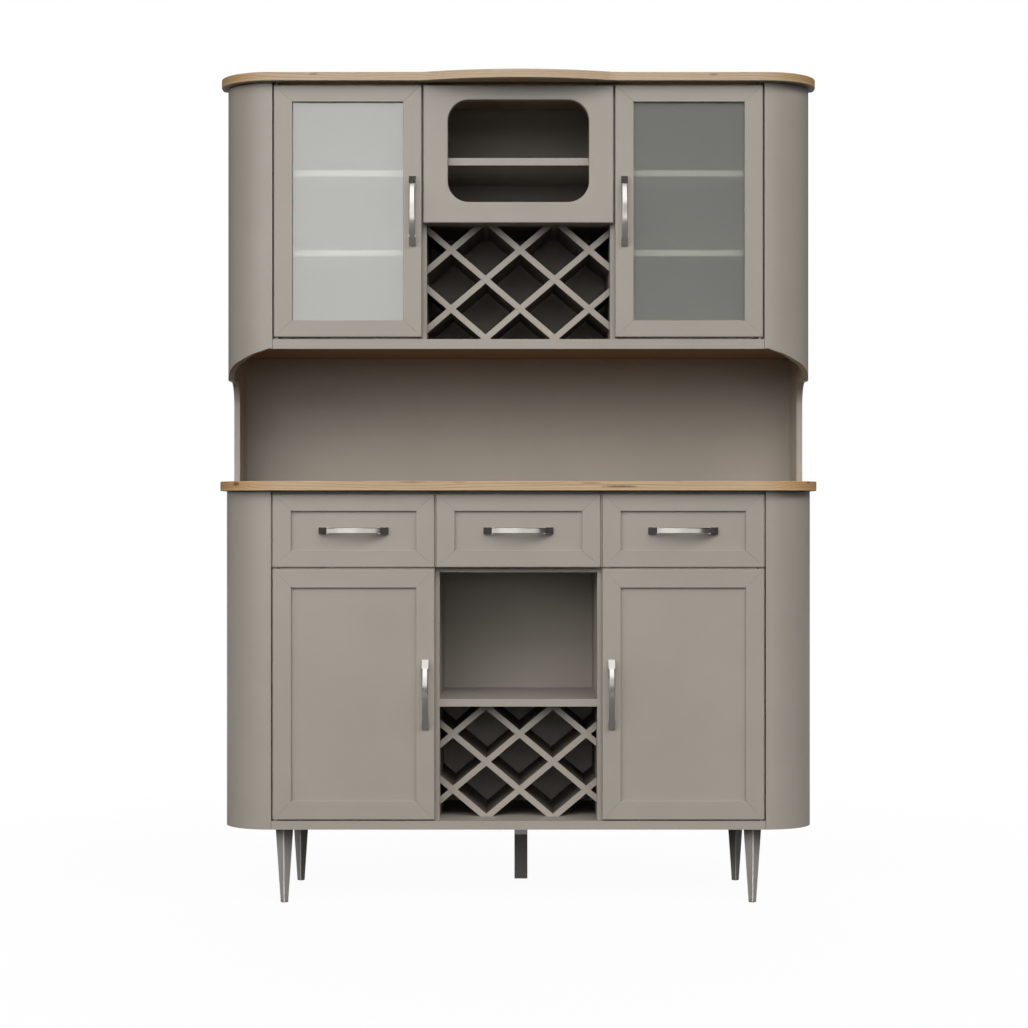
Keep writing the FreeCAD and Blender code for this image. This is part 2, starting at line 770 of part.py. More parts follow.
def centre_square(z0, z1):
    post = board(
        centre_leg_offset - centre_half, centre_leg_offset + centre_half,
        centre_leg_y - centre_half, centre_leg_y + centre_half, z0, z1,
    )
    uprights = [edge for edge in post.Edges if abs(edge.tangentAt(edge.FirstParameter).z) > 0.5]
    return post.makeFillet(centre_leg_edge_round, uprights)


save("tapered_legs", legs)
save("leg_plates", plates + [centre_square(socket_z, leg_height)])
save("leg_glides", glides)
save("centre_leg", [centre_square(centre_leg_floor_gap, socket_z)])

# Doors, each with its frame, field, bushes and pull
door_kinds = {
    "base_door": (
        base_door_x, front_y, base_door_z, base_door_top, base_rail_width,
        panel_recess, panel_thickness, "panel", base_pivot_y,
    ),
    "hutch_door": (
        hutch_door_x, hutch_y, hutch_door_z, hutch_door_top, hutch_rail_width,
        glass_recess, glass_thickness, "glass", hutch_pivot_y,
    ),
}
for kind, sizes in door_kinds.items():
    inner_x, face_y, z0, z1, rail, recess, thickness, field_name, pivot_y = sizes
    foot_seat, foot_bush = pivot_bush(pivot_y, z0, 1)
    head_seat, head_bush = pivot_bush(pivot_y, z1, -1)
    members = mitred_frame(inner_x, door_outer_x, face_y, z0, z1, rail, recess, thickness)
    members = [member.cut([foot_seat, head_seat]) for member in members]
    field = framed_panel(inner_x, door_outer_x, face_y, z0, z1, rail, recess, thickness)
    pull = placed_pull(inner_x + stile_width / 2, face_y, (z0 + z1) / 2, True)
    for side, turn in (("left", mirrored), ("right", Part.Shape.copy)):
        name = kind + "_" + side
        save(name + "_frame", [turn(member) for member in members])
        save(name + "_" + field_name, [turn(field)])
        save(name + "_bushes", [turn(foot_bush), turn(head_bush)])
        save(name + "_pull", [turn(pull)])

# Drawers, each with its framed front, box, runners and pull
middle_drawer_x = base_door_x - front_gap
drawer_bays = {
    "drawer_left": (-door_outer_x, -base_door_x, -side_x, -base_divider_x),
    "drawer_middle": (-middle_drawer_x, middle_drawer_x, -niche_x, niche_x),
    "drawer_right": (base_door_x, door_outer_x, base_divider_x, side_x),
}
box_y = front_y + door_thickness
box_rear = back_y - drawer_back_gap
box_z = deck_top + drawer_lift
box_top = box_z + drawer_box_height
runner_y = base_face_y
runner_rear = back_y - runner_back_gap
runner_z = (box_z + box_top) / 2
channels = []


def channel(x0, x1, y0, y1, z0, z1, wall, open_right):
    outer = board(x0, x1, y0, y1, z0, z1)
    inner_x0 = x0 + wall if open_right else x0 - cut_overrun
    inner_x1 = x1 + cut_overrun if open_right else x1 - wall
    hollow = board(inner_x0, inner_x1, y0 - cut_overrun, y1 + cut_overrun, z0 + wall, z1 - wall)
    return outer.cut(hollow)


for name, (x0, x1, bay_x0, bay_x1) in drawer_bays.items():
    front = mitred_frame(
        x0, x1, front_y, drawer_z, drawer_top, drawer_rail_width, panel_recess, panel_thickness
    )
    front.append(framed_panel(
        x0, x1, front_y, drawer_z, drawer_top, drawer_rail_width, panel_recess, panel_thickness
    ))
    save(name + "_front", front)
    box_x0, box_x1 = bay_x0 + runner_space, bay_x1 - runner_space
    in_x0, in_x1 = box_x0 + drawer_side_thickness, box_x1 - drawer_side_thickness
    in_y0, in_y1 = box_y + drawer_side_thickness, box_rear - drawer_side_thickness
    bottom_z = box_z + drawer_bottom_lift
    save(name + "_box", [
        board(box_x0, in_x0, box_y, box_rear, box_z, box_top),
        board(in_x1, box_x1, box_y, box_rear, box_z, box_top),
        board(in_x0, in_x1, box_y, in_y0, box_z, box_top),
        board(in_x0, in_x1, in_y1, box_rear, box_z, box_top),
        board(in_x0, in_x1, in_y0, in_y1, bottom_z, bottom_z + drawer_bottom_thickness),
    ])
    half_channel = runner_height / 2
    half_rail = half_channel - runner_wall - runner_play
    reach = runner_wall + runner_play
    channels.append(channel(
        bay_x0, bay_x0 + runner_flange, runner_y, runner_rear,
        runner_z - half_channel, runner_z + half_channel, runner_wall, True,
    ))
    channels.append(channel(
        bay_x1 - runner_flange, bay_x1, runner_y, runner_rear,
        runner_z - half_channel, runner_z + half_channel, runner_wall, False,
    ))
    save(name + "_rails", [
        channel(
            bay_x0 + reach, box_x0, runner_y, box_rear,
            runner_z - half_rail, runner_z + half_rail, runner_wall, True,
        ),
        channel(
            box_x1, bay_x1 - reach, runner_y, box_rear,
            runner_z - half_rail, runner_z + half_rail, runner_wall, False,
        ),
    ])
    pull_y = front_y + panel_recess
    save(name + "_pull", [placed_pull((x0 + x1) / 2, pull_y, (drawer_z + drawer_top) / 2, False)])
save("drawer_channels", channels)

print("overall", counter_x + counter_x, rear_y + rear_y, top_z + top_thickness)
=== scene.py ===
import math
import bmesh
import bpy
from mathutils import Matrix, Vector


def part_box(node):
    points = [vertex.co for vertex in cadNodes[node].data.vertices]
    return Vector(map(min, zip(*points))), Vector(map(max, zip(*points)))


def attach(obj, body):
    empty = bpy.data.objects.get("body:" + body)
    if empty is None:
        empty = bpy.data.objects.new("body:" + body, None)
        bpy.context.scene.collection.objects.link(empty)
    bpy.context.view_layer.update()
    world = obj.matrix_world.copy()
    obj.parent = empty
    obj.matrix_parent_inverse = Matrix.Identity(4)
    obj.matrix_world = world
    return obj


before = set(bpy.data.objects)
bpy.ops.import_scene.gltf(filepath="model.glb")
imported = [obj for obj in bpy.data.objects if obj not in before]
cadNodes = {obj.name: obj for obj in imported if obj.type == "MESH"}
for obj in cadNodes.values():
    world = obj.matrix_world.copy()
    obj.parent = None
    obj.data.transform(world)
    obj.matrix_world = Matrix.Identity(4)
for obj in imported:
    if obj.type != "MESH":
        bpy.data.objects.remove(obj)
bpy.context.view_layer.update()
scene = bpy.context.scene
scene.view_settings.view_transform = "Standard"
doors = ("base_door_left", "base_door_right", "hutch_door_left", "hutch_door_right")
drawers = ("drawer_left", "drawer_middle", "drawer_right")
print("frame loaded:", len(cadNodes), "nodes")


# colours are written as seen, on the 0-255 scale
def seen(red, green, blue):
    def linear(value):
        value /= 255
        return value / 12.92 if value <= 0.04045 else ((value + 0.055) / 1.055) ** 2.4
    return (linear(red), linear(green), linear(blue), 1.0)


# links sockets, sets plain values
def feed(tree, node, inputs):
    for key, value in inputs.items():
        if isinstance(value, bpy.types.NodeSocket):
            tree.links.new(value, node.inputs[key])
        else:
            node.inputs[key].default_value = value


def put(tree, kind, inputs=None, **settings):
    made = tree.nodes.new(kind)
    for key, value in settings.items():
        setattr(made, key, value)
    feed(tree, made, inputs or {})
    return made


def startFinish(name):
    finish = bpy.data.materials.new(name)
    finish.use_nodes = True
    tree = finish.node_tree
    tree.nodes.clear()
    shader = put(tree, "ShaderNodeBsdfPrincipled")
    put(tree, "ShaderNodeOutputMaterial", {"Surface": shader.outputs[0]})
    return finish, tree, shader


def vectors(tree, operation, first, second=None, output=0):
    inputs = {0: first} if second is None else {0: first, 1: second}
    return put(tree, "ShaderNodeVectorMath", inputs, operation=operation).outputs[output]


def objectPlace(tree, stretch=(1, 1, 1)):
    place = put(tree, "ShaderNodeTexCoord").outputs["Object"]
    return vectors(tree, "MULTIPLY", place, stretch)


def objectFacing(tree):
    return put(tree, "ShaderNodeTexCoord").outputs["Normal"]


def noise(tree, place, scale, detail=2.0, rough=0.5, warp=0.0):
    made = put(tree, "ShaderNodeTexNoise", {
        "Vector": place, "Scale": scale, "Detail": detail, "Roughness": rough, "Distortion": warp})
    return made.outputs["Fac"]


def spread(tree, value, low, high, toLow=0.0, toHigh=1.0, easing="LINEAR"):
    return put(tree, "ShaderNodeMapRange", {
        "Value": value, "From Min": low, "From Max": high, "To Min": toLow, "To Max": toHigh},
        interpolation_type=easing).outputs[0]


def sums(tree, operation, first, second=0.0):
    return put(tree, "ShaderNodeMath", {0: first, 1: second}, operation=operation).outputs[0]


def split(tree, vector):
    return put(tree, "ShaderNodeSeparateXYZ", {0: vector}).outputs


# sockets 6 and 7 of the mix node take the colours, socket 2 gives the result
def blendColours(tree, share, first, second, kind="MIX"):
    colours = {"Factor": share, 6: first, 7: second}
    return put(tree, "ShaderNodeMix", colours, data_type="RGBA", blend_type=kind).outputs[2]


def bump(tree, height, strength, depth):
    return put(tree, "ShaderNodeBump", {
        "Height": height, "Strength": strength, "Distance": depth}).outputs[0]


# most of a noise lies in here
noiseRange = (0.3, 0.7)

# satin paint, sprayed: faint cloudy tone, fine orange peel
paintLook = {
    "light": seen(165, 157, 147), "dark": seen(158, 151, 141), "cloud": 4.0, "grit": 1050.0,
    "peel": 420.0, "peelStrength": 0.05, "peelDepth": 0.0003, "rough": (0.28, 0.36), "shine": 0.5,
}


def sprayedPaint(name, look=paintLook, bareOrShadedSide=None, deep=None, paintedLightBands=()):
    finish, tree, shader = startFinish(name)
    place = objectPlace(tree)
    cloud = spread(tree, noise(tree, place, look["cloud"], 4.0, 0.6), *noiseRange)
    grit = noise(tree, place, look["grit"], 1.0)
    colour = blendColours(tree, cloud, look["dark"], look["light"])
    rough = spread(tree, grit, *noiseRange, *look["rough"])
    peel = noise(tree, place, look["peel"], 2.0, 0.55)
    if deep or paintedLightBands:
        x, y, z = split(tree, place)
    if deep:  # painted shade: darker behind the front edges, standing in for the shade inside the rack's cells
        starts, ends = (deep["front"] + depth for depth in deep["depths"])
        colour = blendColours(tree, spread(tree, y, starts, ends, 0.0, deep["share"]), colour, deep["colour"])
    # painted light: paler bands on the back where light would reach into the racks
    for band in paintedLightBands:
        within = sums(tree, "MULTIPLY", sums(tree, "GREATER_THAN", z, band["low"]),
                      sums(tree, "LESS_THAN", z, band["high"]))
        central = sums(tree, "LESS_THAN", sums(tree, "ABSOLUTE", x), band["reach"])
        within = sums(tree, "MULTIPLY", within, central)
        colour = blendColours(tree, within, colour, band["colour"])
    if bareOrShadedSide:  # a face in another colour: bare hardboard at the back; painted shade and warm bounce under the hutch floor
        facing = vectors(tree, "DOT_PRODUCT", objectFacing(tree), bareOrShadedSide["faces"], "Value")
        bareOrShaded = sums(tree, "GREATER_THAN", facing, 0.5)
        fibre = noise(tree, objectPlace(tree, bareOrShadedSide["stretch"]), bareOrShadedSide["fibre"], 6.0, 0.7, 0.6)
        board = blendColours(tree, spread(tree, fibre, *noiseRange), bareOrShadedSide["dark"], bareOrShadedSide["light"])
        colour = blendColours(tree, bareOrShaded, colour, board)
        rough = sums(tree, "MAXIMUM", rough, sums(tree, "MULTIPLY", bareOrShaded, bareOrShadedSide["rough"]))
    feed(tree, shader, {
        "Base Color": colour, "Roughness": rough, "Specular IOR Level": look["shine"],
        "Normal": bump(tree, peel, look["peelStrength"], look["peelDepth"])})
    return finish


# oak boards glued up from staves, oiled; lengths in metres, knots lie where the front edges show them
oakLook = {
    "light": seen(203, 175, 141), "mid": seen(187, 158, 123), "dark": seen(150, 117, 81),
    "knot": seen(86, 58, 36), "rough": (0.38, 0.55), "shine": 0.4,
    # staves: width, start of the count, how far the figure is shifted from one to the next, tone
    "stave": 0.098, "staveStart": 5.0, "staveShift": 7.0, "staveTone": 0.28,
    # growth rings: depth of the heart below the board, sway, pitch, where the late wood starts
    "heartDepth": 0.30, "sway": 0.075, "ringPitch": 0.0052, "late": 0.45, "lateShare": (0.25, 0.75),
    # stretch of the broad figure, the streaks and the pores along the grain
    "figure": (0.55, 3.0, 3.0), "streak": (6.0, 260.0, 260.0), "poreStretch": (0.045, 1.0, 1.0),
    "pore": 900.0, "poreRange": (0.60, 0.72), "poreShare": 0.35,
    "reliefStrength": 0.12, "reliefDepth": 0.0004, "streakRelief": 0.4,
    # rounded ends: from where to where they turn golden; painted highlight on the lower arris, standing in
    # for the floor's bounce: foot of the board, fade, share
    "golden": (0.93, 0.77, 0.53, 1.0), "ends": (0.48, 0.59),
    "foot": 0.839, "arris": (0.0025, 0.006), "bounceShare": 0.6,
    # knots: stretch across the grain, ragged rim, solid core; then place, size, shortness, strength
    "knotStretch": (0.5, 1.3), "knotRim": 0.9, "knotGrain": 420.0, "knotCore": 0.25,
    "knots": (
        ((-0.415, -0.165, 1.682), 0.0045, 0.35, 0.5), ((0.395, -0.165, 1.681), 0.004, 0.35, 0.5),
        ((-0.571, -0.166, 0.8525), 0.008, 0.7, 0.75), ((0.588, -0.149, 0.856), 0.005, 0.9, 0.8),
        ((-0.215, -0.191, 0.8562), 0.0035, 0.1, 0.4), ((-0.12, -0.191, 0.8556), 0.003, 0.15, 0.3),
        ((0.145, -0.191, 0.8545), 0.0035, 0.12, 0.45), ((0.205, -0.191, 0.8475), 0.0045, 0.09, 0.75),
        ((0.33, 0.05, 0.8584), 0.009, 0.62, 0.8), ((-0.34, 0.09, 1.6864), 0.01, 0.62, 0.8),
        ((0.12, 0.12, 1.6864), 0.007, 0.62, 0.8)),
}
# the top board came out paler and greyer than the counter
topOakLook = dict(oakLook, light=seen(198, 175, 148), mid=seen(183, 159, 131), dark=seen(149, 122, 92),
                  foot=1.6685)


def gluedOak(name, look=oakLook):
    finish, tree, shader = startFinish(name)
    place = put(tree, "ShaderNodeTexCoord").outputs["Object"]
    along, across, up = split(tree, place)
    # each stave has its own heart line and tone; the two boards draw different lots
    counted = sums(tree, "DIVIDE", sums(tree, "ADD", across, look["staveStart"]), look["stave"])
    level = sums(tree, "FLOOR", sums(tree, "MULTIPLY", up, 2.0))
    seed = put(tree, "ShaderNodeCombineXYZ", {0: sums(tree, "FLOOR", counted), 1: level})
    lot = put(tree, "ShaderNodeTexWhiteNoise", {"Vector": seed.outputs[0]}, noise_dimensions="3D")
    lotShift, lotHeart, lotTone = split(tree, lot.outputs["Color"])
    shift = sums(tree, "MULTIPLY", lotShift, look["staveShift"])
    moved = put(tree, "ShaderNodeCombineXYZ", {
        0: sums(tree, "ADD", along, shift), 1: across, 2: up}).outputs[0]
    figure = vectors(tree, "MULTIPLY", moved, look["figure"])
    wander = sums(tree, "SUBTRACT", noise(tree, figure, 2.2, 3.0, 0.55), 0.5)
    sway = sums(tree, "MULTIPLY", wander, look["sway"])
    inStave = sums(tree, "SUBTRACT", sums(tree, "MULTIPLY", sums(tree, "FRACT", counted), look["stave"]),
                   sums(tree, "MULTIPLY", lotHeart, look["stave"]))
    below = sums(tree, "SUBTRACT", sums(tree, "MODULO", up, 0.5), look["heartDepth"])
    heart = put(tree, "ShaderNodeCombineXYZ", {
        0: sums(tree, "ADD", inStave, sway), 1: sums(tree, "ADD", below, sway)}).outputs[0]
    reach = vectors(tree, "LENGTH", heart, output="Value")
    ring = sums(tree, "FRACT", sums(tree, "DIVIDE", reach, look["ringPitch"]))
    late = spread(tree, ring, look["late"], 1.0, easing="SMOOTHSTEP")
    fine = noise(tree, vectors(tree, "MULTIPLY", moved, look["streak"]), 1.0, 4.0, 0.6)
    porePlace = vectors(tree, "MULTIPLY", moved, look["poreStretch"])
    pore = spread(tree, noise(tree, porePlace, look["pore"]), *look["poreRange"])
    patch = noise(tree, figure, 5.0, 3.0)
    colour = blendColours(tree, spread(tree, fine, 0.25, 0.75), look["light"], look["mid"])
    lateShare = sums(tree, "MULTIPLY", late, spread(tree, patch, *noiseRange, *look["lateShare"]))
    colour = blendColours(tree, lateShare, colour, look["dark"])
    colour = blendColours(tree, sums(tree, "MULTIPLY", pore, look["poreShare"]), colour, look["dark"])
    colour = blendColours(tree, spread(tree, lotTone, 0.0, 1.0, 0.0, look["staveTone"]), colour, look["mid"])
    # the rounded ends lie across the grain and came out golden; the lower arris is painted pale, a painted
    # highlight standing in for the floor's bounce
    ends = spread(tree, sums(tree, "ABSOLUTE", along), *look["ends"])
    colour = blendColours(tree, ends, colour, look["golden"], "MULTIPLY")
    paintedBounce = spread(tree, sums(tree, "SUBTRACT", up, look["foot"]), *look["arris"], look["bounceShare"], 0.0)
    colour = blendColours(tree, paintedBounce, colour, look["light"])
    mark = None
    for spot, size, shortness, strength in look["knots"]:
        offset = vectors(tree, "SUBTRACT", place, spot)
        flat = vectors(tree, "MULTIPLY", offset, (shortness, *look["knotStretch"]))
        away = vectors(tree, "LENGTH", flat, output="Value")
        ragged = sums(tree, "SUBTRACT", noise(tree, place, look["knotGrain"]), 0.5)
        rim = sums(tree, "MULTIPLY", ragged, size * look["knotRim"])
        one = spread(tree, sums(tree, "ADD", away, rim), size * look["knotCore"], size,
                     strength, 0.0, "SMOOTHSTEP")
        mark = one if mark is None else sums(tree, "MAXIMUM", mark, one)
    colour = blendColours(tree, mark, colour, look["knot"])
    relief = sums(tree, "SUBTRACT", sums(tree, "MULTIPLY", fine, look["streakRelief"]),
                  sums(tree, "ADD", pore, late))
    feed(tree, shader, {
        "Base Color": colour, "Roughness": spread(tree, fine, 0.2, 0.8, *look["rough"]),
        "Normal": bump(tree, relief, look["reliefStrength"], look["reliefDepth"]),
        "Specular IOR Level": look["shine"]})
    return finish


# satin nickel, brushed along the strap
nickelLook = {"light": seen(214, 211, 206), "dark": seen(186, 182, 176), "rough": (0.14, 0.22),
              "hairStrength": 0.06, "hairDepth": 0.0002}


def brushedNickel(name, stretch, look=nickelLook):
    finish, tree, shader = startFinish(name)
    hair = noise(tree, objectPlace(tree, stretch), 1.0, 3.0, 0.6)
    feed(tree, shader, {
        "Base Color": blendColours(tree, hair, look["dark"], look["light"]), "Metallic": 1.0,
        "Roughness": spread(tree, hair, 0.2, 0.8, *look["rough"]),
        "Normal": bump(tree, hair, look["hairStrength"], look["hairDepth"])})
    return finish


# plain metal and nylon parts: plated hardware, coated legs, glides
metalLook = {"cloudShare": 1 / 40, "grainStrength": 0.05, "grainDepth": 0.0002, "highlightFacing": (0.86, 0.95)}


def coatedMetal(name, light, dark, metallic, rough, grain, shine=0.5, arris=None, look=metalLook):
    finish, tree, shader = startFinish(name)
    place = objectPlace(tree)
    cloud = noise(tree, place, grain * look["cloudShare"], 3.0)
    fine = noise(tree, place, grain)
    colour = blendColours(tree, spread(tree, cloud, *noiseRange), dark, light)
    if arris:  # painted highlight: lighter where the narrow facets face straight ahead or sideways, standing in for the glint on the arris
        facets = split(tree, vectors(tree, "ABSOLUTE", objectFacing(tree)))
        paintedGlint = spread(tree, sums(tree, "MAXIMUM", facets[0], facets[1]), *look["highlightFacing"])
        colour = blendColours(tree, paintedGlint, colour, arris)
    feed(tree, shader, {
        "Base Color": colour, "Roughness": spread(tree, fine, *noiseRange, *rough),
        "Normal": bump(tree, fine, look["grainStrength"], look["grainDepth"]),
        "Metallic": metallic, "Specular IOR Level": shine})
    return finish


# etched glass: blurs what lies behind, so only the shelf edges close to it show; smooth outer face
glassLook = {
    "light": seen(168, 170, 163), "dark": seen(162, 164, 157), "cloud": 5.0,
    "etch": 1500.0, "etchStrength": 0.02, "etchDepth": 0.0001,
    "through": 0.9, "blur": 0.3, "bend": 1.25, "face": 1.0, "faceRough": 0.07,
}


def etchedGlass(name, look=glassLook):
    finish, tree, shader = startFinish(name)
    place = objectPlace(tree)
    cloud = noise(tree, place, look["cloud"], 3.0)
    etch = noise(tree, place, look["etch"])
    feed(tree, shader, {
        "Base Color": blendColours(tree, cloud, look["dark"], look["light"]),
        "Normal": bump(tree, etch, look["etchStrength"], look["etchDepth"]),
        "Roughness": look["blur"], "Transmission Weight": look["through"], "IOR": look["bend"],
        "Coat Weight": look["face"], "Coat Roughness": look["faceRough"]})
    return finish


# birch ply of the drawer boxes
plyLook = {
    "light": seen(216, 196, 164), "dark": seen(192, 166, 128), "rough": (0.45, 0.6),
    "grain": (40.0, 3.0, 90.0), "flake": (500.0, 60.0, 500.0), "grainShare": 0.8, "flakeShare": 0.2,
    "reliefStrength": 0.08, "reliefDepth": 0.0003,
}


def birchPly(name, look=plyLook):
    finish, tree, shader = startFinish(name)
    along = noise(tree, objectPlace(tree, look["grain"]), 1.0, 4.0, 0.6, 0.4)
    flake = noise(tree, objectPlace(tree, look["flake"]), 1.0)
    share = sums(tree, "ADD", sums(tree, "MULTIPLY", along, look["grainShare"]),
                 sums(tree, "MULTIPLY", flake, look["flakeShare"]))
    feed(tree, shader, {
        "Base Color": blendColours(tree, spread(tree, share, *noiseRange), look["dark"], look["light"]),
        "Roughness": spread(tree, flake, *noiseRange, *look["rough"]),
        "Normal": bump(tree, share, look["reliefStrength"], look["reliefDepth"])})
    return finish


# inner faces are flatter than the fronts
mattLook = dict(paintLook, rough=(0.4, 0.48), shine=0.4)
# painted light: the shelves are paler than the paint, standing in for light on their edges behind the glass
shelfLook = dict(paintLook, light=seen(204, 203, 198), dark=seen(197, 196, 191))
# painted light: the battens are paler, so the gaps around the fronts show lighter
battenLook = dict(mattLook, light=seen(200, 184, 164), dark=seen(190, 174, 155))
# bare hardboard towards the wall; under the hutch floor a dark brown, painted shade and painted warm bounce
# from the counter
hardboard = {"light": seen(150, 118, 84), "dark": seen(126, 96, 66), "fibre": 240.0, "rough": 0.75,
             "faces": (0, 1, 0), "stretch": (1, 1, 0.35)}
undersideShade = {"light": seen(124, 94, 70), "dark": seen(106, 78, 56), "fibre": 60.0, "rough": 0.75,
          "faces": (0, 0, -1), "stretch": (0.08, 1, 1)}
# painted shade: the racks' slats turn dark behind their front edges, standing in for the shade inside the
# cells
slatPaintedShade = {"colour": seen(94, 86, 76), "depths": (0.003, 0.016), "share": 0.85}
baseSlatShade = dict(slatPaintedShade, front=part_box("base_wine_rack")[0].y)
hutchSlatShade = dict(slatPaintedShade, front=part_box("hutch_wine_rack")[0].y)
# painted light: the back is paler behind the racks, standing in for light reaching into the cells
backPaintedLight = (
    {"low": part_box("base_floor_panel")[1].z, "high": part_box("base_niche_shelf")[0].z,
     "reach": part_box("base_dividers")[1].x, "colour": seen(234, 224, 210)},
    {"low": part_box("hutch_floor_panel")[1].z, "high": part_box("hutch_niche_floor")[0].z,
     "reach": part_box("hutch_dividers")[1].x, "colour": seen(228, 216, 200)},
)
finishes = {
    "painted_carcass": sprayedPaint("greigePaintCarcass"),
    "painted_fronts": sprayedPaint("greigePaintFronts"),
    "paleShelf": sprayedPaint("paleShelf", shelfLook),
    "matt": sprayedPaint("greigePaintMatt", mattLook),
    "batten": sprayedPaint("battenPaintedLight", battenLook),
    "back": sprayedPaint("greigePaintBack", mattLook, hardboard, paintedLightBands=backPaintedLight),
    # the slats carry painted shade behind their front edges
    "baseSlats": sprayedPaint("slatsBase", mattLook, deep=baseSlatShade),
    "hutchSlats": sprayedPaint("slatsHutch", mattLook, deep=hutchSlatShade),
    # the hutch floor's underside is painted dark brown: painted shade and warm bounce from the counter
    "hutchFloor": sprayedPaint("greigePaintHutchFloor", paintLook, undersideShade),
    "oak": gluedOak("oiledOak"),
    "topOak": gluedOak("oiledOakTop", topOakLook),
    "nickelUpright": brushedNickel("satinNickelUpright", (900.0, 900.0, 18.0)),
    "nickelLevel": brushedNickel("satinNickelLevel", (18.0, 900.0, 900.0)),
    "frosted_glass": etchedGlass("etchedGlass"),
    "drawer_board": birchPly("birchPly"),
    # the legs carry a painted highlight on their arrises
    "leg_metal": coatedMetal("coatedLeg", seen(166, 162, 156), seen(157, 153, 147), metallic=0.06,
                             rough=(0.34, 0.44), grain=300.0, shine=0.25, arris=seen(250, 248, 245)),
    "centreLeg": coatedMetal("coatedCentreLeg", seen(124, 118, 110), seen(114, 108, 100), metallic=0.1,
                             rough=(0.35, 0.45), grain=300.0),
    "glide_nylon": coatedMetal("nylonGlide", seen(48, 46, 44), seen(38, 36, 35), metallic=0.0,
                               rough=(0.5, 0.6), grain=500.0),
    "zinc_hardware": coatedMetal("zincPlate", seen(196, 196, 194), seen(170, 171, 172), metallic=1.0,
                                 rough=(0.3, 0.42), grain=500.0),
    "paintedSteel": coatedMetal("paintedSteel", seen(152, 145, 135), seen(142, 135, 126), metallic=0.1,
                                rough=(0.4, 0.5), grain=500.0),
    "screw": coatedMetal("platedScrew", seen(206, 204, 198), seen(182, 180, 174), metallic=1.0,
                         rough=(0.26, 0.36), grain=700.0),
}
print("finishes made:", len(finishes))

# finish of each CAD node: by its name, else by how it ends; the rest is painted
namedFinish = {
    "hutch_shelves": "paleShelf", "base_wine_rack": "baseSlats", "hutch_wine_rack": "hutchSlats",
    "hutch_floor_panel": "hutchFloor", "counter": "oak", "hutch_top_board": "topOak",
    "tapered_legs": "leg_metal", "centre_leg": "centreLeg", "leg_glides": "glide_nylon",
    "door_pivots": "paintedSteel", "drawer_channels": "zinc_hardware", "shelf_pins": "zinc_hardware",
    "leg_plates": "zinc_hardware", "hutch_niche_floor": "matt", "base_drawer_decks": "matt",
    "base_dividers": "matt", "hutch_dividers": "matt", "base_floor_panel": "matt",
    "hutch_fascia": "painted_fronts",
}
endingFinish = {
    "_back_panel": "back", "_glass": "frosted_glass", "_bushes": "paintedSteel", "_rails": "zinc_hardware",
    "_box": "drawer_board",
}


def finishFor(name):
    if name in namedFinish:
        return namedFinish[name]
    if name.endswith("_pull"):
        return "nickelLevel" if name.startswith("drawer") else "nickelUpright"
    for ending, finish in endingFinish.items():
        if name.endswith(ending):
            return finish
    return "painted_fronts" if name.startswith(doors + drawers) else "painted_carcass"


# softened arrises, in metres
softEdge = {"board": 0.0007, "mitre": 0.0004, "metal": 0.0003, "leg": 0.0001, "segments": 2, "sharpest": 40}
for name, node in cadNodes.items():
    for held in node.material_slots:
        held.material = finishes[finishFor(name)]
    if name.endswith("_pull"):
        continue  # rounded in the CAD
    if name.endswith(("_bushes", "_rails")) or name in ("door_pivots", "drawer_channels", "shelf_pins"):
        width = softEdge["metal"]
    elif name.endswith(("_frame", "_front")):
        width = softEdge["mitre"]
    elif name == "tapered_legs":
        width = softEdge["leg"]
    else:
        width = softEdge["board"]
    if name.endswith("_glass"):
        node.visible_shadow = False  # light falls through on to the shelves
    soften = node.modifiers.new("softEdge", "BEVEL")
    soften.width = width
    soften.segments = softEdge["segments"]
    soften.limit_method = "ANGLE"
    soften.angle_limit = math.radians(softEdge["sharpest"])
    soften.use_clamp_overlap = True
print("nodes finished:", len(cadNodes))


# closes a stack of rings with sides and two ends
def skin(mesh, rings):
    count = len(rings[0])
    for lower, upper in zip(rings, rings[1:]):
        for step in range(count):
            after = (step + 1) % count
            mesh.faces.new((lower[step], lower[after], upper[after], upper[step]))
    mesh.faces.new(reversed(rings[0]))
    mesh.faces.new(rings[-1])


# turned heads: rings of a dome from the seat up, and the cross slot, as shares of radius and height
headLook = {"rings": ((1.0, 0.0), (1.0, 0.3), (0.92, 0.62), (0.76, 0.86), (0.56, 1.0)), "turns": 20,
            "arm": 0.5, "core": 0.17, "floor": 0.4}


def turnedHead(mesh, middle, axis, sizes, crossed=True):
    turns, radius, height = headLook["turns"], sizes["radius"], sizes["height"]
    upright = Vector(axis).to_track_quat("Z", "Y").to_matrix().to_4x4()
    place = Matrix.Translation(middle) @ upright

    def ring(reaches, lift):
        made = []
        for step, reach in enumerate(reaches):
            angle = 2 * math.pi * step / turns
            far = radius * reach
            spot = Vector((far * math.cos(angle), far * math.sin(angle), lift * height))
            made.append(mesh.verts.new(place @ spot))
        return made

    rings = [ring([reach] * turns, lift) for reach, lift in headLook["rings"]]
    if crossed:
        slot = [headLook["core"] if step % (turns // 4) else headLook["arm"] for step in range(turns)]
        rings += [ring(slot, 1.0), ring(slot, headLook["floor"])]
    skin(mesh, rings)


smoothBelow = math.radians(38)


def newPiece(name, mesh, finish, body):
    data = bpy.data.meshes.new(name)
    mesh.to_mesh(data)
    mesh.free()
    data.polygons.foreach_set("use_smooth", [True] * len(data.polygons))
    data.set_sharp_from_angle(angle=smoothBelow)
    piece = bpy.data.objects.new(name, data)
    data.materials.append(finishes[finish])
    scene.collection.objects.link(piece)
    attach(piece, body)


